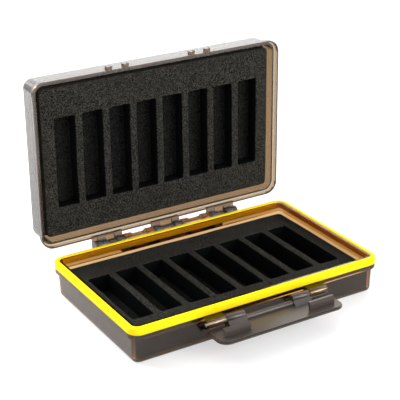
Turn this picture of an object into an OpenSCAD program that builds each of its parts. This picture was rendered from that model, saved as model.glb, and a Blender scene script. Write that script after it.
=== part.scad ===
// Small hinged, gasketed storage case with slotted foam inserts in both halves.
// Origin: centre of the base's underside. +Z up, +X along the hinge, latch at -Y, hinge at +Y.
// The lid is modelled shut and then swung open about the hinge; the latch flap is modelled open.

/* [Seal line] */
// Overall length of the gasket ring, along the hinge
seal_w = 159.4; // [150:0.5:170]
// Overall depth of the gasket ring, front to back
seal_d = 97.6; // [90:0.5:105]
// Outer corner radius of the gasket ring
seal_r = 6.4; // [6:0.2:10]
// Width of the gasket's cross-section
seal_t = 2.9; // [2.4:0.1:3.4]
// Height of the gasket's cross-section
seal_h = 4.2; // [3:0.1:5]

/* [Base] */
// Height of the flange that the gasket sits on
base_h = 17.9; // [16:0.1:22]
// Thickness of the base's floor
base_floor = 2; // [1.6:0.1:2.6]
// Thickness of the flange under the gasket
flange_t = 2.6; // [2:0.1:3]
// How far the base's side wall stands in from the flange's edge
wall_inset = 1.8; // [1.4:0.1:2]
// How much smaller the floor is than the top of the wall, on each side
base_draft = 0.5; // [0.2:0.1:1]
// Thickness of the upright lip inside the gasket
lip_t = 1.2; // [1:0.1:1.6]
// Radius of the outside bottom and top edges
edge_r = 2.4; // [1.5:0.1:2.8]

/* [Lid] */
// Height of the lid from its rim to its back
lid_h = 18.8; // [18:0.1:24]
// Thickness of the lid's back
lid_back = 2; // [1.6:0.1:2.6]
// Thickness of the skirt that drops round the gasket
skirt_t = 0.9; // [0.8:0.05:1.2]
// Depth of the step inside the skirt
skirt_h = 2.4; // [2:0.1:3]
// Height of the thick band round the rim
rim_h = 3.2; // [3:0.1:4]
// How far the lid's side wall stands in from the rim
lid_inset = 1.6; // [1.4:0.1:1.8]
// How much smaller the lid's back is than the foot of its wall, on each side
lid_draft = 0.3; // [0.1:0.1:0.4]
// Thickness of the lid's side wall at its foot
lid_wall_t = 1.35; // [1.2:0.05:1.6]
// Clearance all round between the shut lid and the base with its gasket
shut_gap = 0.3; // [0.3:0.05:0.5]

/* [Rear hinge] */
// Distance of the hinge pin behind the gasket
hinge_back = 6.3; // [6:0.1:8]
// Height of the hinge pin above the flange
hinge_up = 0.6; // [0.4:0.1:1.6]
// Outer radius of the hinge knuckles
hinge_r = 3.6; // [3.2:0.1:3.8]
// Radius of the waist between a knuckle's two cheeks
waist_r = 2.7; // [2.4:0.1:3]
// Radius of the hinge pin
pin_r = 1; // [0.8:0.05:1.1]
// Radial clearance of a pin in a knuckle that turns on it
pin_play = 0.05; // [0.02:0.01:0.1]
// Gap between neighbouring knuckles
knuckle_gap = 0.4; // [0.3:0.1:0.8]

/* [Front latch] */
// Distance of the latch pins in front of the gasket
latch_out = 4.1; // [4:0.1:5]
// Distance of the latch pins below the flange
latch_down = 2.9; // [2.6:0.1:3.2]
// Outer radius of the latch knuckles
latch_r = 2.5; // [2.2:0.1:2.6]
// Width of the latch flap
flap_w = 79.2; // [78:0.1:84]
// Reach of the latch flap from its pins to its free edge
flap_l = 18; // [16:0.5:20]
// Thickness of the latch flap
flap_t = 1.4; // [1.2:0.1:1.6]
// Length of each hook rail on the flap
hook_w = 16; // [14:0.5:17]
// Centre distance of the two hook rails
hook_pitch = 54; // [50:1:56]

/* [Foam inserts] */
// Number of slots in each insert
slots = 8; // [6:1:8]
// Distance from one slot to the next
slot_pitch = 17.4; // [16:0.1:17.6]
// Width of a slot
slot_w = 13; // [10:0.5:14]
// Length of a slot
slot_l = 54; // [40:1:60]
// Corner radius of a slot
slot_r = 0.8; // [0.4:0.1:2]
// How far the slots sit towards the hinge from the middle
slot_shift = 0.4; // [0:0.1:2]
// Depth of the base foam's top below the flange
foam_drop = 3.2; // [2:0.1:6]
// Thickness of the sheet under the base foam
base_sheet = 2; // [1:0.5:4]
// Depth of the lid foam's face inside the rim
lid_foam_in = 4.0; // [3.4:0.1:6]
// Thickness of the slotted layer in the lid
lid_foam_t = 8.2; // [6:0.1:9]

/* [Hidden] */
$fn = 64;
eps = 0.01;
smoke = [0.36, 0.33, 0.30, 0.75];
steel = [0.80, 0.80, 0.82];
foam_grey = [0.24, 0.24, 0.23];

// Half sizes of the seal line, from which every other outline is offset
half_w = seal_w / 2;
half_d = seal_d / 2;

// Base levels and offsets from the seal line
foam_top = base_h - foam_drop;
lip_top = base_h + seal_h - 0.4;
flange_in = 0.1;
cavity_in = seal_t + lip_t;
base_wall_in = flange_in + wall_inset;
foam_in = cavity_in + 0.15;

// Lid levels when shut, and offsets from the seal line
skirt_top = base_h + seal_h + 0.3;
rim_z = skirt_top - skirt_h;
lid_top = rim_z + lid_h;
lid_out = shut_gap + skirt_t;
lid_wall_in = lid_inset - lid_out;
lid_cavity_in = lid_wall_in + lid_wall_t;
lid_open = 90;

// Hinge pin
hinge_y = half_d + hinge_back;
hinge_z = base_h + hinge_up;
mid_half = 9.3;
base_knuckle_l = 19.7;
end_knuckle_l = 19.1;
cheek_l = 5;
base_knuckle_x = mid_half + knuckle_gap;
end_knuckle_x = base_knuckle_x + base_knuckle_l + knuckle_gap;
end_knuckle_out = end_knuckle_x + end_knuckle_l;
end_block_l = 7.9;
groove_l = 1.8;
groove_r = 1.9;
pin_stop = 2;
heel_gap = 0.3;

// Latch pins, hooks and the teeth that the hooks catch
latch_y = -half_d - latch_out;
latch_z = base_h - latch_down;
flap_knuckle_x = 15.2;
flap_knuckle_l = 11.3;
latch_knuckle_x = flap_knuckle_x + flap_knuckle_l + knuckle_gap;
latch_knuckle_l = 11.7;
latch_pin_l = latch_knuckle_x + latch_knuckle_l - flap_knuckle_x;
pin_proud = 0.4;
plate_drop = 2.4;
plate_near = 2.3;
bead_r = 1.85;
tooth_w = 3.6;
tooth_pitch = 10.6;
tooth_reach = 1.4;
tooth_low = 2.7;
tooth_high = 5.2;
hook_h = 4.6;
hook_stem_t = 1.6;
hook_nose_l = 1.3;
hook_reach = rim_z + tooth_high + 0.3 - latch_z;

// Rounded rectangle, set in from the seal line by inset (negative is outwards)
module outline(inset) {
    w = half_w - inset;
    d = half_d - inset;
    r = seal_r - inset;
    square([2 * w, 2 * (d - r)], center = true);
    square([2 * (w - r), 2 * d], center = true);
    for (x = [-1, 1], y = [-1, 1])
        translate([x * (w - r), y * (d - r)]) circle(r);
}

module slab(inset, z, h) {
    translate([0, 0, z]) linear_extrude(h) outline(inset);
}

module ring(outer, inner, z, h) {
    translate([0, 0, z]) linear_extrude(h) difference() {
        outline(outer);
        outline(inner);
    }
}

// Tapered tray body with a rounded edge all round its closed side, which is at z = 0
module tapered_body(foot_inset, closed_inset, h) {
    rim_r = seal_r - foot_inset;
    arc_x = seal_r - closed_inset - edge_r;
    hull() for (x = [-1, 1], y = [-1, 1])
        translate([x * (half_w - seal_r), y * (half_d - seal_r)]) {
            translate([0, 0, h - eps]) cylinder(r = rim_r, h = eps, $fn = 48);
            translate([0, 0, edge_r]) rotate_extrude($fn = 48) intersection() {
                translate([arc_x, 0]) circle(edge_r, $fn = 24);
                translate([0, -edge_r]) square([arc_x + edge_r, edge_r]);
            }
        }
}

// Cylinder along X from x0 to x0 + l
module bar(x0, l, r) {
    translate([x0, 0, 0]) rotate([0, 90, 0]) cylinder(r = r, h = l);
}

// A profile drawn in (y, z) and extended along X from x0 to x0 + l
module rail(x0, l) {
    translate([x0, 0, 0]) rotate([90, 0, 90]) linear_extrude(l) children();
}

module mirrored_x() {
    children();
    mirror([1, 0, 0]) children();
}

// Knuckle with two full-size cheeks and a waist between them
module waisted_knuckle(x0, l) {
    bar(x0, cheek_l, hinge_r);
    bar(x0 + cheek_l - eps, l - 2 * cheek_l + 2 * eps, waist_r);
    bar(x0 + l - cheek_l, cheek_l, hinge_r);
}

// Outer lid knuckle: an end block, a narrow groove, a waist and a cheek
module end_knuckle() {
    waist_x = end_knuckle_x + cheek_l;
    groove_x = end_knuckle_out - end_block_l - groove_l;
    bar(end_knuckle_x, cheek_l, hinge_r);
    bar(waist_x - eps, groove_x - waist_x + 2 * eps, waist_r);
    bar(groove_x, groove_l, groove_r);
    bar(groove_x + groove_l - eps, end_block_l + eps, hinge_r);
}

// Arm from the lid's rim to a knuckle, about the pin: a web with a cheek at the ends given
module lid_arm(x0, l, cheeks) {
    rim_y = -hinge_back + lid_out - 1;
    web_z = hinge_r - 1.5;
    rail(x0, l) polygon([[rim_y, web_z], [0, web_z], [0, hinge_r], [rim_y, hinge_r]]);
    for (c = cheeks)
        rail(x0 + c, cheek_l)
            polygon([[rim_y, rim_z - hinge_z + 0.2], [0, 0], [0, hinge_r], [rim_y, hinge_r]]);
}

// Heel on a lid knuckle that meets the base's flange when the lid is open
module lid_heel(x0, l) {
    heel = hinge_back + flange_in - heel_gap;
    rail(x0, l) polygon([[0.2, 0], [3.4, 0], [3.4, -heel], [0.2, -heel]]);
}

module lid_knuckles() {
    translate([0, hinge_y, hinge_z]) {
        waisted_knuckle(-mid_half, 2 * mid_half);
        lid_arm(-mid_half, 2 * mid_half, [0, 2 * mid_half - cheek_l]);
        lid_heel(-mid_half, 2 * mid_half);
        mirrored_x() {
            end_knuckle();
            lid_arm(end_knuckle_x, end_knuckle_l, [0, end_knuckle_l - end_block_l]);
            lid_heel(end_knuckle_x, cheek_l);
        }
    }
}

module base_knuckles() {
    translate([0, hinge_y, hinge_z]) mirrored_x() {
        waisted_knuckle(base_knuckle_x, base_knuckle_l);
        rail(base_knuckle_x, base_knuckle_l)
            polygon([[-hinge_back - 1, -hinge_r], [0, -hinge_r], [0, -waist_r + 1.2],
                     [-hinge_back - 1, -hinge_up]]);
        for (x = [base_knuckle_x, base_knuckle_x + base_knuckle_l - cheek_l])
            rail(x, cheek_l)
                polygon([[-hinge_back - 1, -hinge_r], [0, -hinge_r], [0, hinge_r - 1.4],
                         [-2.9, 1.4], [-hinge_back + 0.6, -hinge_up], [-hinge_back - 1, -hinge_up]]);
    }
}

// Knuckles for the latch pins, each on a gusset that runs down the front wall
module latch_knuckles() {
    wall = latch_out + base_wall_in;
    translate([0, latch_y, latch_z]) mirrored_x() {
        bar(latch_knuckle_x, latch_knuckle_l, latch_r);
        rail(latch_knuckle_x, latch_knuckle_l)
            polygon([[0, latch_r], [wall + 1, latch_r], [wall + 1, -6.4], [wall - 0.2, -6.4],
                     [1.4, -3], [-1.9, -1.62], [0, 0]]);
    }
}

module base_shell() color(smoke) difference() {
    union() {
        tapered_body(base_wall_in, base_wall_in + base_draft, base_h - flange_t + eps);
        slab(flange_in, base_h - flange_t, flange_t);
        slab(seal_t, base_h - eps, lip_top - base_h + eps);
        base_knuckles();
        latch_knuckles();
    }
    slab(cavity_in, base_floor, lip_top);
    translate([0, hinge_y, hinge_z]) bar(-end_knuckle_x, 2 * end_knuckle_x, pin_r);
    translate([0, latch_y, latch_z]) mirrored_x()
        bar(latch_knuckle_x - 1, latch_knuckle_l + 2, pin_r);
}

module rim_gasket() color("yellow") {
    ring(0, seal_t - 0.05, base_h, seal_h);
}

// Tooth on the lid's front wall: wider at its tip, with a hollow worn into the tip
module catch_tooth(x) {
    tip = -half_d - lid_out - tooth_reach;
    root = -half_d + lid_wall_in + 0.5;
    difference() {
        rail(x - tooth_w / 2, tooth_w)
            polygon([[root, rim_z + tooth_low], [tip, rim_z + tooth_low], [tip, rim_z + tooth_high],
                     [root, rim_z + tooth_high - 0.8]]);
        translate([x, tip - 1.9, rim_z]) cylinder(r = 2.4, h = 10);
    }
}

module shut_lid() difference() {
    union() {
        translate([0, 0, lid_top]) mirror([0, 0, 1])
            tapered_body(lid_wall_in, lid_wall_in + lid_draft, lid_h - rim_h + eps);
        slab(-lid_out, rim_z, rim_h);
        lid_knuckles();
        for (x = [-1, 1], t = [-1, 1])
            catch_tooth((x * hook_pitch + t * tooth_pitch) / 2);
    }
    slab(-shut_gap, rim_z - 1, skirt_h + 1);
    slab(lid_cavity_in, rim_z, lid_h - lid_back);
    translate([0, hinge_y, hinge_z])
        bar(-end_knuckle_out + pin_stop, 2 * end_knuckle_out, pin_r + pin_play);
}

// Swings a shut lid piece open about the hinge pin
module opened() {
    translate([0, hinge_y, hinge_z]) rotate([-lid_open, 0, 0])
        translate([0, -hinge_y, -hinge_z]) children();
}

module lid_shell() color(smoke) opened() shut_lid();

// Slotted outline of an insert, set in from the seal line
module slotted(inset) difference() {
    outline(inset);
    for (i = [0 : slots - 1])
        translate([(i - (slots - 1) / 2) * slot_pitch, slot_shift]) slot();
}

module slot() {
    w = slot_w - 2 * slot_r;
    l = slot_l - 2 * slot_r;
    square([slot_w, l], center = true);
    square([w, slot_l], center = true);
    for (x = [-1, 1], y = [-1, 1])
        translate([x * w / 2, y * l / 2]) circle(slot_r);
}

module base_foam_block() color(foam_grey) {
    z = base_floor + base_sheet;
    translate([0, 0, z]) linear_extrude(foam_top - z) slotted(foam_in);
}

module base_foam_sheet() color(foam_grey) slab(foam_in, base_floor, base_sheet);

module lid_foam_block() color(foam_grey) opened()
    translate([0, 0, rim_z + lid_foam_in]) linear_extrude(lid_foam_t)
        slotted(foam_in);

module lid_foam_sheet() color(foam_grey) opened() {
    z = rim_z + lid_foam_in + lid_foam_t;
    slab(lid_cavity_in + 0.2, z, lid_top - lid_back - z);
}

module hinge_pin() color(steel) translate([0, hinge_y, hinge_z])
    bar(-end_knuckle_out + pin_stop + 0.3, 2 * end_knuckle_out - pin_stop - 0.8, pin_r);

module latch_pin() translate([0, latch_y, latch_z])
    bar(flap_knuckle_x + 0.4, latch_pin_l + pin_proud - 0.4, pin_r);

module latch_pin_left() color(steel) mirror([1, 0, 0]) latch_pin();

module latch_pin_right() color(steel) latch_pin();

// Flap outline, seen from above, about the pins
module flap_outline(inset) {
    w = flap_w / 2 - inset;
    l = flap_l - inset;
    r = 6 - inset;
    translate([-w, -l + r]) square([2 * w, l - r - plate_near]);
    translate([-w + r, -l]) square([2 * (w - r), l - plate_near]);
    for (x = [-1, 1]) translate([x * (w - r), -l + r]) circle(r);
}

module flap_plate() {
    step = 0.7;
    translate([0, 0, -plate_drop - flap_t]) {
        linear_extrude(flap_t - step) flap_outline(0);
        translate([0, 0, flap_t - step - eps]) linear_extrude(step + eps) flap_outline(0.8);
    }
}

// Knuckle on the flap, with a heel that meets the base's front wall when the flap is open
module flap_knuckle() {
    heel = latch_out + base_wall_in - heel_gap;
    low = -plate_drop - flap_t;
    bar(flap_knuckle_x, flap_knuckle_l, latch_r);
    rail(flap_knuckle_x, flap_knuckle_l)
        polygon([[-latch_r, 0], [-plate_near - 2.6, -plate_drop], [-plate_near - 2.6, low],
                 [0.6, low], [heel, low + 0.5], [heel, -1.9], [2.3, -1.2], [0, 0]]);
}

// Hook rail: a stem with a nose at its tip that points back at the pins
module hook_rail(x) {
    top = -plate_drop + hook_h;
    rail(x - hook_w / 2, hook_w)
        polygon([[-hook_reach, top], [-hook_reach, top - hook_nose_l],
                 [-hook_reach - 0.8, top - hook_nose_l - 0.7], [-hook_reach - 0.8, -plate_drop - 0.5],
                 [-hook_reach - 0.8 - hook_stem_t, -plate_drop - 0.5],
                 [-hook_reach - 0.8 - hook_stem_t, top - 0.8], [-hook_reach - 1.4, top]]);
}

module latch_flap() color(smoke) translate([0, latch_y, latch_z]) difference() {
    union() {
        flap_plate();
        mirrored_x() flap_knuckle();
        translate([0, -1.1, -plate_drop - flap_t + bead_r])
            bar(-flap_knuckle_x - eps, 2 * flap_knuckle_x + 2 * eps, bead_r);
        for (x = [-1, 1]) hook_rail(x * hook_pitch / 2);
    }
    mirrored_x() bar(flap_knuckle_x - 1, flap_knuckle_l + 2, pin_r + pin_play);
}

base_shell();
lid_shell();
rim_gasket();
base_foam_block();
base_foam_sheet();
lid_foam_block();
lid_foam_sheet();
hinge_pin();
latch_flap();
latch_pin_left();
latch_pin_right();
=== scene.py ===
"""Visual model of an open, gasketed storage case with slotted foam inserts."""
import math

import bmesh
import bpy
from mathutils import Matrix, Vector, noise


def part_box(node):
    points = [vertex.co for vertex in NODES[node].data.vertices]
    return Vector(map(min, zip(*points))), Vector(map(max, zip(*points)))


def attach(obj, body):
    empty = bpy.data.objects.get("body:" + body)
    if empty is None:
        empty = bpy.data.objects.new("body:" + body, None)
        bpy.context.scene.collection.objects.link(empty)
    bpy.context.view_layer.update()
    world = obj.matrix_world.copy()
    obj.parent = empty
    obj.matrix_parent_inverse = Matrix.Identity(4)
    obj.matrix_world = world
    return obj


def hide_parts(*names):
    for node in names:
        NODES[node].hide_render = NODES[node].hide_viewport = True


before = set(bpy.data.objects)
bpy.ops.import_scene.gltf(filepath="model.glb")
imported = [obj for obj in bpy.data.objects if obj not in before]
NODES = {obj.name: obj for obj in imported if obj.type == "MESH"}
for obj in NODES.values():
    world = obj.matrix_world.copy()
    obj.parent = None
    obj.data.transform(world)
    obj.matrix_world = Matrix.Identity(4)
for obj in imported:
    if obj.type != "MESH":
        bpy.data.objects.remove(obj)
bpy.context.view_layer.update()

MM = 0.001


def grid_steps(keys, step):
    """The key values with evenly spaced values between them, no further apart than step."""
    out = [keys[0]]
    for a, b in zip(keys[:-1], keys[1:]):
        n = max(1, math.ceil((b - a) / step))
        out.extend(a + (b - a) * i / n for i in range(1, n + 1))
    return out


def add_piece(name, bm, materials, smooth_angle):
    """Turns a bmesh into an object, sharp only where its faces meet at more than smooth_angle."""
    for face in bm.faces:
        face.smooth = True
    mesh = bpy.data.meshes.new(name)
    bm.to_mesh(mesh)
    bm.free()
    mesh.set_sharp_from_angle(angle=math.radians(smooth_angle))
    for material in materials:
        mesh.materials.append(material)
    piece = bpy.data.objects.new(name, mesh)
    bpy.context.scene.collection.objects.link(piece)
    return piece


# ---------------------------------------------------------------- node helpers

def new_material(name):
    mat = bpy.data.materials.new(name)
    mat.use_nodes = True
    mat.node_tree.nodes.clear()
    return mat, mat.node_tree


def add(tree, kind, values=None):
    """A new node with the given values on its sockets."""
    node = tree.nodes.new(kind)
    for name, value in (values or {}).items():
        node.inputs[name].default_value = value
    return node


def link(tree, source, out, target, socket):
    tree.links.new(source.outputs[out], target.inputs[socket])


def noise_node(tree, scale, detail=2.0, rough=0.5, stretch=(1, 1, 1)):
    """Noise in object space; scale is features per metre."""
    coord = add(tree, "ShaderNodeTexCoord")
    mapping = add(tree, "ShaderNodeMapping", {"Scale": stretch})
    link(tree, coord, "Object", mapping, "Vector")
    tex = add(tree, "ShaderNodeTexNoise", {"Scale": scale, "Detail": detail, "Roughness": rough})
    link(tree, mapping, "Vector", tex, "Vector")
    return tex


def ramp(tree, source, out, stops):
    """Colour ramp on a 0-1 value; stops are (position, colour)."""
    node = add(tree, "ShaderNodeValToRGB")
    elements = node.color_ramp.elements
    while len(elements) < len(stops):
        elements.new(0.5)
    for element, (position, colour) in zip(elements, stops):
        element.position = position
        element.color = (*colour, 1.0)
    link(tree, source, out, node, "Fac")
    return node


def patchy(tree, source, first, second):
    """Colour that goes from first to second over the middle of a noise's range."""
    return ramp(tree, source, "Fac", [(0.3, first), (0.7, second)])


def remap(tree, source, out, low, high, from_low=0.3, from_high=0.7):
    node = add(tree, "ShaderNodeMapRange", {
        "From Min": from_low, "From Max": from_high, "To Min": low, "To Max": high})
    link(tree, source, out, node, "Value")
    return node


def bump(tree, source, out, strength, distance, normal=None):
    node = add(tree, "ShaderNodeBump", {"Strength": strength, "Distance": distance})
    link(tree, source, out, node, "Height")
    if normal:
        link(tree, normal, "Normal", node, "Normal")
    return node


def surface_output(tree, shader, volume=None):
    out = add(tree, "ShaderNodeOutputMaterial")
    link(tree, shader, 0, out, "Surface")
    if volume:
        link(tree, volume, 0, out, "Volume")


# ---------------------------------------------------------------- materials

# Sockets of a colour Mix node, which share their names with the other data types' sockets
MIX_A, MIX_B, MIX_RESULT = 6, 7, 2


def smoke_plastic(name, tint, density, rough, clear, skin, ior):
    """Smoke-tinted clear plastic, darker the further light goes through it.

    tint and density set that absorption; clear is the share that isn't hazy, and skin the haze's
    colour.
    """
    mat, tree = new_material(name)
    shader = add(tree, "ShaderNodeBsdfPrincipled", {"IOR": ior, "Transmission Weight": clear})
    flow = noise_node(tree, 38, 3)
    deep = tuple(c * 0.93 for c in skin)
    link(tree, patchy(tree, flow, deep, skin), "Color", shader, "Base Color")
    satin = noise_node(tree, 600, 3, 0.6)
    gloss = remap(tree, satin, "Fac", rough - 0.02, rough + 0.02)
    link(tree, gloss, "Result", shader, "Roughness")
    fine = noise_node(tree, 2600, 2)
    link(tree, bump(tree, fine, "Fac", 0.05, 0.02 * MM), "Normal", shader, "Normal")
    absorb = add(tree, "ShaderNodeVolumeAbsorption", {"Color": (*tint, 1.0), "Density": density})
    surface_output(tree, shader, absorb)
    return mat


def silicone():
    """Slightly translucent yellow rubber."""
    mat, tree = new_material("yellow_silicone_rubber")
    shader = add(tree, "ShaderNodeBsdfPrincipled", {
        "IOR": 1.4,
        "Specular IOR Level": 0.05,
        "Subsurface Weight": 0.85,
        "Subsurface Radius": (4.0 * MM, 2.5 * MM, 0.3 * MM),
        "Subsurface Scale": 1.0,
    })
    patches = noise_node(tree, 90, 3)
    colour = patchy(tree, patches, (0.94, 0.54, 0.006), (0.98, 0.60, 0.010))
    link(tree, colour, "Color", shader, "Base Color")
    link(tree, remap(tree, patches, "Fac", 0.42, 0.54), "Result", shader, "Roughness")
    fine = noise_node(tree, 1800, 2)
    link(tree, bump(tree, fine, "Fac", 0.08, 0.05 * MM), "Normal", shader, "Normal")
    surface_output(tree, shader)
    return mat


def foam(name, dark, mid, light):
    """Closed-cell foam: fine cells with paler and darker specks."""
    mat, tree = new_material(name)
    shader = add(tree, "ShaderNodeBsdfPrincipled", {"Roughness": 0.95, "Specular IOR Level": 0.08})
    grain = noise_node(tree, 2100, 1, 0.5)
    colour = ramp(tree, grain, "Fac", [(0.34, dark), (0.48, mid), (0.62, light)])
    shade = patchy(tree, noise_node(tree, 140, 2), (0.86, 0.86, 0.86), (1.0, 1.0, 1.0))
    mix = add(tree, "ShaderNodeMix", {"Factor": 1.0})
    mix.data_type = "RGBA"
    mix.blend_type = "MULTIPLY"
    link(tree, colour, "Color", mix, MIX_A)
    link(tree, shade, "Color", mix, MIX_B)
    link(tree, mix, MIX_RESULT, shader, "Base Color")
    cells = add(tree, "ShaderNodeTexVoronoi", {"Scale": 1300.0})
    link(tree, add(tree, "ShaderNodeTexCoord"), "Object", cells, "Vector")
    pits = bump(tree, cells, "Distance", 0.4, 0.2 * MM)
    link(tree, bump(tree, grain, "Fac", 0.4, 0.2 * MM, pits), "Normal", shader, "Normal")
    surface_output(tree, shader)
    return mat


def steel_wire():
    """Bright drawn wire, streaked along X."""
    mat, tree = new_material("drawn_steel_wire")
    shader = add(tree, "ShaderNodeBsdfPrincipled", {"Metallic": 1.0})
    streaks = noise_node(tree, 900, 3, 0.6, (0.04, 1, 1))
    colour = patchy(tree, streaks, (0.55, 0.55, 0.56), (0.80, 0.80, 0.81))
    link(tree, colour, "Color", shader, "Base Color")
    link(tree, remap(tree, streaks, "Fac", 0.16, 0.32), "Result", shader, "Roughness")
    link(tree, bump(tree, streaks, "Fac", 0.1, 0.05 * MM), "Normal", shader, "Normal")
    surface_output(tree, shader)
    return mat


PALE_SKIN = (0.94, 0.92, 0.90)
SMOKE_BASE = smoke_plastic("smoke_plastic_base", tint=(0.78, 0.60, 0.28), density=900,
                           rough=0.17, clear=1.0, skin=PALE_SKIN, ior=1.50)
SMOKE_LID = smoke_plastic("smoke_plastic_lid", tint=(0.66, 0.54, 0.36), density=2300,
                          rough=0.15, clear=0.97, skin=PALE_SKIN, ior=1.58)
SMOKE_FLAP = smoke_plastic("smoke_plastic_flap", tint=(0.50, 0.40, 0.30), density=2300,
                           rough=0.30, clear=0.62, skin=(0.085, 0.062, 0.048), ior=1.50)
YELLOW = silicone()
FOAM_FACE = foam("charcoal_foam_skin", dark=(0.0012, 0.0012, 0.001),
                 mid=(0.0105, 0.0102, 0.0086), light=(0.046, 0.044, 0.037))
# The same foam several times darker, for walls down in the slots and round the base insert: painted
# shade, not a different cut surface.
FOAM_PAINTED_SHADE = foam("charcoal_foam_painted_shade", dark=(0.0002, 0.0003, 0.0003),
                mid=(0.0012, 0.0020, 0.0020), light=(0.004, 0.005, 0.0048))
# The sheet under the inserts, coloured darker than the insert's face as painted shade at the bottoms
# of the slots.
FOAM_SHEET_PAINTED_SHADE = foam("foam_sheet_painted_shade", dark=(0.001, 0.0012, 0.001),
                  mid=(0.0055, 0.0062, 0.0056), light=(0.017, 0.018, 0.016))
STEEL = steel_wire()


# ---------------------------------------------------------------- CAD shells and pins

def finish_cad(name, material, bevel_mm):
    """Gives a CAD node its material, and rounds its sharp edges the way a mould does."""
    node = NODES[name]
    node.data.materials.clear()
    node.data.materials.append(material)
    weld = node.modifiers.new("weld", "WELD")
    weld.merge_threshold = 0.002 * MM
    flat = node.modifiers.new("flat", "DECIMATE")
    flat.decimate_type = "DISSOLVE"
    flat.angle_limit = math.radians(0.6)
    edge = node.modifiers.new("edge", "BEVEL")
    edge.width = bevel_mm * MM
    edge.segments = 2
    edge.limit_method = "ANGLE"
    edge.angle_limit = math.radians(40)
    edge.harden_normals = True


# ---------------------------------------------------------------- foam

SLOT_COUNT = 8
SLOT_PITCH = 17.4 * MM
SLOT_WIDTH = 13.0 * MM
SLOT_LENGTH = 54.0 * MM
SLOT_SHIFT = 0.4 * MM
SLOT_CORNER = 0.8 * MM
INSERT_CORNER = 2.15 * MM
LID_SHEET_CORNER = 4.45 * MM

# Grid spacing over the face and down the walls, and steps round a corner
FOAM_STEP = 2.6 * MM
WALL_STEP = 3 * MM
CORNER_STEPS = 3

# Gap under a foam piece, so that it shares no surface with what it lies on
UNDER_GAP = 0.1 * MM
RIM_SOFT = 0.5 * MM
JOIN_WITHIN = 0.002 * MM

# How far the walls wander and the face dips, and how fast that changes from place to place
WANDER = 0.28 * MM
WANDER_RATE = 55
FOOT_SHARE = 0.35
DIP = 0.35 * MM
DIP_RATE = 0.8

# Within this distance of its outline a slab only ever wanders inwards, and by this share
OUTER_BAND = 3 * MM
OUTER_SHARE = 0.6

# Unset, the seed of noise_vector comes from the clock, and each run cuts the foam differently
NOISE_SEED = 1
noise.seed_set(NOISE_SEED)

# Stands a face-up slab upright, facing the front
FACE_FORWARD = Matrix.Rotation(math.radians(90), 4, "X")


def slot_spans():
    """The low and high X of each slot."""
    middle = (SLOT_COUNT - 1) / 2
    centres = [(i - middle) * SLOT_PITCH for i in range(SLOT_COUNT)]
    return [(x - SLOT_WIDTH / 2, x + SLOT_WIDTH / 2) for x in centres]


def edge_to_edge(half, corner, between):
    """Grid lines across a slab: closer together in its corners, FOAM_STEP apart at most elsewhere."""
    first = grid_steps([-half, -half + corner], corner / CORNER_STEPS)
    middle = grid_steps([-half + corner, *between, half - corner], FOAM_STEP)
    last = grid_steps([half - corner, half], corner / CORNER_STEPS)
    return first + middle[1:] + last[1:]


def cut_slab(half_x, half_y, thick, corner, spans, slot_y):
    """A foam slab, face up at Z = thick, on a grid that leaves out the cells where slots are cut."""
    xs = edge_to_edge(half_x, corner, [x for span in spans for x in span])
    ys = edge_to_edge(half_y, corner, slot_y)
    zs = grid_steps([UNDER_GAP, thick], WALL_STEP)
    bm = bmesh.new()

    def in_slot(x, y):
        return any(a < x < b and slot_y[0] < y < slot_y[1] for a, b in spans)

    made = {}

    def vert(i, j, k):
        if (i, j, k) not in made:
            made[i, j, k] = bm.verts.new((xs[i], ys[j], zs[k]))
        return made[i, j, k]

    solid = {(i, j) for i in range(len(xs) - 1) for j in range(len(ys) - 1)
             if not in_slot((xs[i] + xs[i + 1]) / 2, (ys[j] + ys[j + 1]) / 2)}
    top = len(zs) - 1
    for i, j in sorted(solid):
        bm.faces.new([vert(i, j, top), vert(i + 1, j, top),
                      vert(i + 1, j + 1, top), vert(i, j + 1, top)])
        bm.faces.new([vert(i, j, 0), vert(i, j + 1, 0), vert(i + 1, j + 1, 0), vert(i + 1, j, 0)])
        sides = [((i - 1, j), (i, j + 1), (i, j)), ((i + 1, j), (i + 1, j), (i + 1, j + 1)),
                 ((i, j - 1), (i, j), (i + 1, j)), ((i, j + 1), (i + 1, j + 1), (i, j + 1))]
        for beside, a, b in sides:
            if beside in solid:
                continue
            for k in range(top):
                bm.faces.new([vert(*a, k), vert(*b, k), vert(*b, k + 1), vert(*a, k + 1)])
    return bm


def round_outline(bm, half_x, half_y, corner):
    """Draws each corner's square of grid points in to a quarter circle."""
    for v in bm.verts:
        u = abs(v.co.x) - (half_x - corner)
        w = abs(v.co.y) - (half_y - corner)
        if u > 0 and w > 0:
            pull = max(u, w) / math.hypot(u, w)
            v.co.x = math.copysign(half_x - corner + u * pull, v.co.x)
            v.co.y = math.copysign(half_y - corner + w * pull, v.co.y)


def bevel_edges(bm, edges, size):
    """Rounds the edges, then joins points that lie on one another and drops faces with no area."""
    bmesh.ops.bevel(bm, geom=edges, offset=size, segments=3, affect="EDGES", profile=0.5,
                    clamp_overlap=False)
    bmesh.ops.remove_doubles(bm, verts=bm.verts, dist=JOIN_WITHIN)
    bmesh.ops.dissolve_degenerate(bm, edges=bm.edges, dist=JOIN_WITHIN)


def round_slots(bm, spans, slot_y):
    """Rounds the upright corners of the slots."""
    corners = {(round(x, 6), round(y, 6)) for span in spans for x in span for y in slot_y}
    upright = [e for e in bm.edges
               if all((round(v.co.x, 6), round(v.co.y, 6)) in corners for v in e.verts)
               and abs(e.verts[0].co.z - e.verts[1].co.z) > 1e-6]
    bevel_edges(bm, upright, SLOT_CORNER)


def soft_rim(bm):
    """Rounds the edge between the foam's face and each of its walls."""
    bm.normal_update()
    rim = [e for e in bm.edges
           if max(f.normal.z for f in e.link_faces) > 0.9
           and min(abs(f.normal.z) for f in e.link_faces) < 0.1]
    bevel_edges(bm, rim, RIM_SOFT)
    bm.normal_update()


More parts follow.
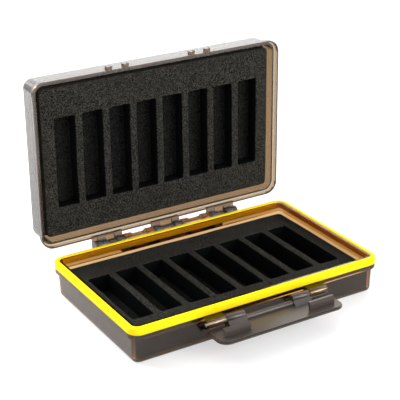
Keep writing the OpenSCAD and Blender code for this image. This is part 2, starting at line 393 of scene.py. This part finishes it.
def soften(bm, half_x, half_y, thick, seed):
    """Foam is never cut quite straight: its walls wander and its face dips."""
    for v in bm.verts:
        at = v.co * WANDER_RATE + Vector((seed, 0, 0))
        lift = v.co.z / thick
        sway = noise.noise_vector(at) * WANDER * (FOOT_SHARE + (1 - FOOT_SHARE) * lift)
        dip = noise.noise(at * DIP_RATE) * DIP * lift
        for axis, half in ((0, half_x), (1, half_y)):
            if abs(v.co[axis]) > half - OUTER_BAND:
                v.co[axis] -= math.copysign(abs(sway[axis]) * OUTER_SHARE, v.co[axis])
            else:
                v.co[axis] += sway[axis]
        v.co.z += min(0.0, dip)


def foam_slab(name, node, body, seed, corner, slotted, looks, turn=None):
    """The foam piece that stands for a CAD node.

    looks are the materials of its face, its slots and its outer walls. turn sets it up from lying
    face up, for the open lid.
    """
    low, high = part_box(node)
    wide, deep, thick = (high[i] - low[i] for i in range(3))
    middle = [(low[i] + high[i]) / 2 for i in range(3)]
    shift = SLOT_SHIFT
    place = Matrix.Translation((middle[0], middle[1], low[2]))
    if turn is not None:
        deep, thick = thick, deep
        shift = -SLOT_SHIFT
        place = Matrix.Translation((middle[0], high[1], middle[2])) @ turn
    half_x, half_y = wide / 2, deep / 2
    spans = slot_spans() if slotted else []
    slot_y = [shift - SLOT_LENGTH / 2, shift + SLOT_LENGTH / 2] if slotted else []
    bm = cut_slab(half_x, half_y, thick, corner, spans, slot_y)
    round_outline(bm, half_x, half_y, corner)
    if slotted:
        round_slots(bm, spans, slot_y)
    soft_rim(bm)
    # Faces that don't face up take the slot look, and near the outline the outer-wall look; where
    # these are the darker foam, that is painted shade.
    for face in bm.faces:
        at = face.calc_center_median()
        outer = abs(at.x) > half_x - corner or abs(at.y) > half_y - corner
        face.material_index = 0 if face.normal.z > 0.3 else 2 if outer else 1
    soften(bm, half_x, half_y, thick, seed)
    bm.transform(place)
    piece = add_piece(name, bm, looks, 50)
    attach(piece, body)
    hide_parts(node)


# ---------------------------------------------------------------- gasket

GASKET_THICK = 2.8 * MM
GASKET_CORNER = 6.4 * MM
GASKET_CORNER_STEPS = 14
CROWN_OUT = 1.0 * MM
CROWN_IN = 0.6 * MM


def rounded_path(half_x, half_y, radius, steps):
    """Points and outward directions round a rectangle with round corners, anticlockwise."""
    out = []
    corners = [(half_x, half_y, 0), (-half_x, half_y, 90),
               (-half_x, -half_y, 180), (half_x, -half_y, 270)]
    for x, y, start in corners:
        cx = x - math.copysign(radius, x)
        cy = y - math.copysign(radius, y)
        for i in range(steps + 1):
            angle = math.radians(start + 90 * i / steps)
            way = Vector((math.cos(angle), math.sin(angle), 0))
            out.append((Vector((cx, cy, 0)) + way * radius, way))
    return out


def gasket_section(tall):
    """The ring's cross-section, as distances in from its outer face and up from its foot."""
    section = [(0.12 * MM, 0), (0, 0.2 * MM), (0, tall - CROWN_OUT)]
    for i in range(1, 6):
        a = math.radians(90 * i / 6)
        section.append((CROWN_OUT * (1 - math.cos(a)), tall - CROWN_OUT * (1 - math.sin(a))))
    section += [(CROWN_OUT, tall), (GASKET_THICK - CROWN_IN, tall)]
    for i in range(1, 5):
        a = math.radians(90 * i / 5)
        section.append((GASKET_THICK - CROWN_IN * (1 - math.sin(a)),
                        tall - CROWN_IN * (1 - math.cos(a))))
    section += [(GASKET_THICK, tall - CROWN_IN), (GASKET_THICK, 0.15 * MM),
                (GASKET_THICK - 0.12 * MM, 0)]
    return section


def gasket():
    """The rubber ring: a section with rounded upper edges, swept round the rim."""
    low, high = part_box("rim_gasket")
    half_x, half_y = (high[0] - low[0]) / 2, (high[1] - low[1]) / 2
    section = gasket_section(high[2] - low[2])
    bm = bmesh.new()
    rings = []
    for point, way in rounded_path(half_x, half_y, GASKET_CORNER, GASKET_CORNER_STEPS):
        rings.append([bm.verts.new(point - way * inset + Vector((0, 0, low[2] + z)))
                      for inset, z in section])
    for ring, following in zip(rings, rings[1:] + rings[:1]):
        for i in range(len(section)):
            j = (i + 1) % len(section)
            bm.faces.new([ring[i], ring[j], following[j], following[i]])
    bmesh.ops.recalc_face_normals(bm, faces=bm.faces)
    piece = add_piece("gasket", bm, [YELLOW], 35)
    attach(piece, "base")
    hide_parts("rim_gasket")


finish_cad("base_shell", SMOKE_BASE, 0.22)
finish_cad("lid_shell", SMOKE_LID, 0.22)
finish_cad("latch_flap", SMOKE_FLAP, 0.18)
for pin in ("hinge_pin", "latch_pin_left", "latch_pin_right"):
    finish_cad(pin, STEEL, 0.2)
# The slot walls, and the base insert's outer walls, take the darker foam as painted shade; the lid
# insert's outer walls keep the face foam.
foam_slab("foam_insert_base", "base_foam_block", "base", seed=3, corner=INSERT_CORNER,
          slotted=True, looks=(FOAM_FACE, FOAM_PAINTED_SHADE, FOAM_PAINTED_SHADE))
foam_slab("foam_insert_lid", "lid_foam_block", "lid", seed=11, corner=INSERT_CORNER,
          slotted=True, looks=(FOAM_FACE, FOAM_PAINTED_SHADE, FOAM_FACE), turn=FACE_FORWARD)
# The sheets take a darker foam as painted shade at the slot bottoms.
foam_slab("foam_floor_base", "base_foam_sheet", "base", seed=19, corner=INSERT_CORNER,
          slotted=False, looks=(FOAM_SHEET_PAINTED_SHADE,) * 3)
foam_slab("foam_floor_lid", "lid_foam_sheet", "lid", seed=27, corner=LID_SHEET_CORNER,
          slotted=False, looks=(FOAM_SHEET_PAINTED_SHADE,) * 3, turn=FACE_FORWARD)
gasket()


# ---------------------------------------------------------------- stage

# Camera: the viewing angle of the reference, from the front left and above
VIEW_YAW = math.radians(31.0)
VIEW_DOWN = math.radians(23.63)
VIEW_ROLL = math.radians(-0.62)
CAMERA_AT = Vector((-323.2, -521.9, 326.3)) * MM
LENS_MM = 108.5
SENSOR_MM = 36.0
CLIP_START = 10 * MM

WHITE = (1.0, 1.0, 1.0, 1.0)
FLOOR_HALF = 3.0


def build_camera():
    data = bpy.data.cameras.new("view")
    data.lens = LENS_MM
    data.sensor_width = SENSOR_MM
    data.clip_start = CLIP_START
    level = math.cos(VIEW_DOWN)
    ahead = Vector((math.sin(VIEW_YAW) * level, math.cos(VIEW_YAW) * level, -math.sin(VIEW_DOWN)))
    right = Vector((math.cos(VIEW_YAW), -math.sin(VIEW_YAW), 0))
    up = right.cross(ahead)
    side = right * math.cos(VIEW_ROLL) + up * math.sin(VIEW_ROLL)
    top = up * math.cos(VIEW_ROLL) - right * math.sin(VIEW_ROLL)
    turn = Matrix((side, top, -ahead)).transposed().to_4x4()
    camera = bpy.data.objects.new("camera", data)
    camera.matrix_world = Matrix.Translation(CAMERA_AT) @ turn
    bpy.context.scene.collection.objects.link(camera)
    bpy.context.scene.camera = camera


def build_world():
    """White studio surroundings, brighter above and behind the case."""
    world = bpy.data.worlds.new("studio")
    bpy.context.scene.world = world
    world.use_nodes = True
    tree = world.node_tree
    tree.nodes.clear()
    dot = add(tree, "ShaderNodeVectorMath")
    dot.operation = "DOT_PRODUCT"
    dot.inputs[1].default_value = (0.33, 0.80, 0.50)
    link(tree, add(tree, "ShaderNodeTexCoord"), "Generated", dot, 0)
    level = remap(tree, dot, "Value", 0.90, 2.6, 0.45, 0.98)
    level.interpolation_type = "SMOOTHSTEP"
    background = add(tree, "ShaderNodeBackground", {"Color": WHITE})
    link(tree, level, "Result", background, "Strength")
    link(tree, background, 0, add(tree, "ShaderNodeOutputWorld"), "Surface")


def build_floor():
    """Pale floor that gives off some light of its own, so that shadows on it stay faint."""
    mesh = bpy.data.meshes.new("floor")
    half = FLOOR_HALF
    mesh.from_pydata([(-half, -half, 0), (half, -half, 0), (half, half, 0), (-half, half, 0)], [],
                     [(0, 1, 2, 3)])
    floor = bpy.data.objects.new("floor", mesh)
    bpy.context.scene.collection.objects.link(floor)
    mat, tree = new_material("pale_floor")
    shader = add(tree, "ShaderNodeBsdfPrincipled", {
        "Roughness": 0.6, "Emission Color": WHITE, "Emission Strength": 0.5})
    shade = patchy(tree, noise_node(tree, 2, 1), (0.37, 0.37, 0.37), (0.39, 0.39, 0.39))
    link(tree, shade, "Color", shader, "Base Color")
    surface_output(tree, shader)
    mesh.materials.append(mat)


def area_light(name, at, aim, size, power):
    """A soft lamp that lights surfaces but is not seen itself, directly or mirrored."""
    data = bpy.data.lights.new(name, "AREA")
    data.shape = "RECTANGLE"
    data.size, data.size_y = size
    data.energy = power
    lamp = bpy.data.objects.new(name, data)
    at, aim = Vector(at), Vector(aim)
    turn = (at - aim).to_track_quat("Z", "Y").to_matrix().to_4x4()
    lamp.matrix_world = Matrix.Translation(at) @ turn
    lamp.visible_camera = False
    lamp.visible_glossy = False
    bpy.context.scene.collection.objects.link(lamp)


build_camera()
build_world()
build_floor()
area_light("key_right", at=(0.60, -0.90, 0.50), aim=(0, 0, 0.05), size=(0.7, 0.6), power=17)
area_light("sweep_left", at=(-0.30, 0.40, 0.36), aim=(-0.22, 0.26, 0), size=(0.3, 0.3), power=6)
bpy.context.scene.view_settings.view_transform = "Standard"
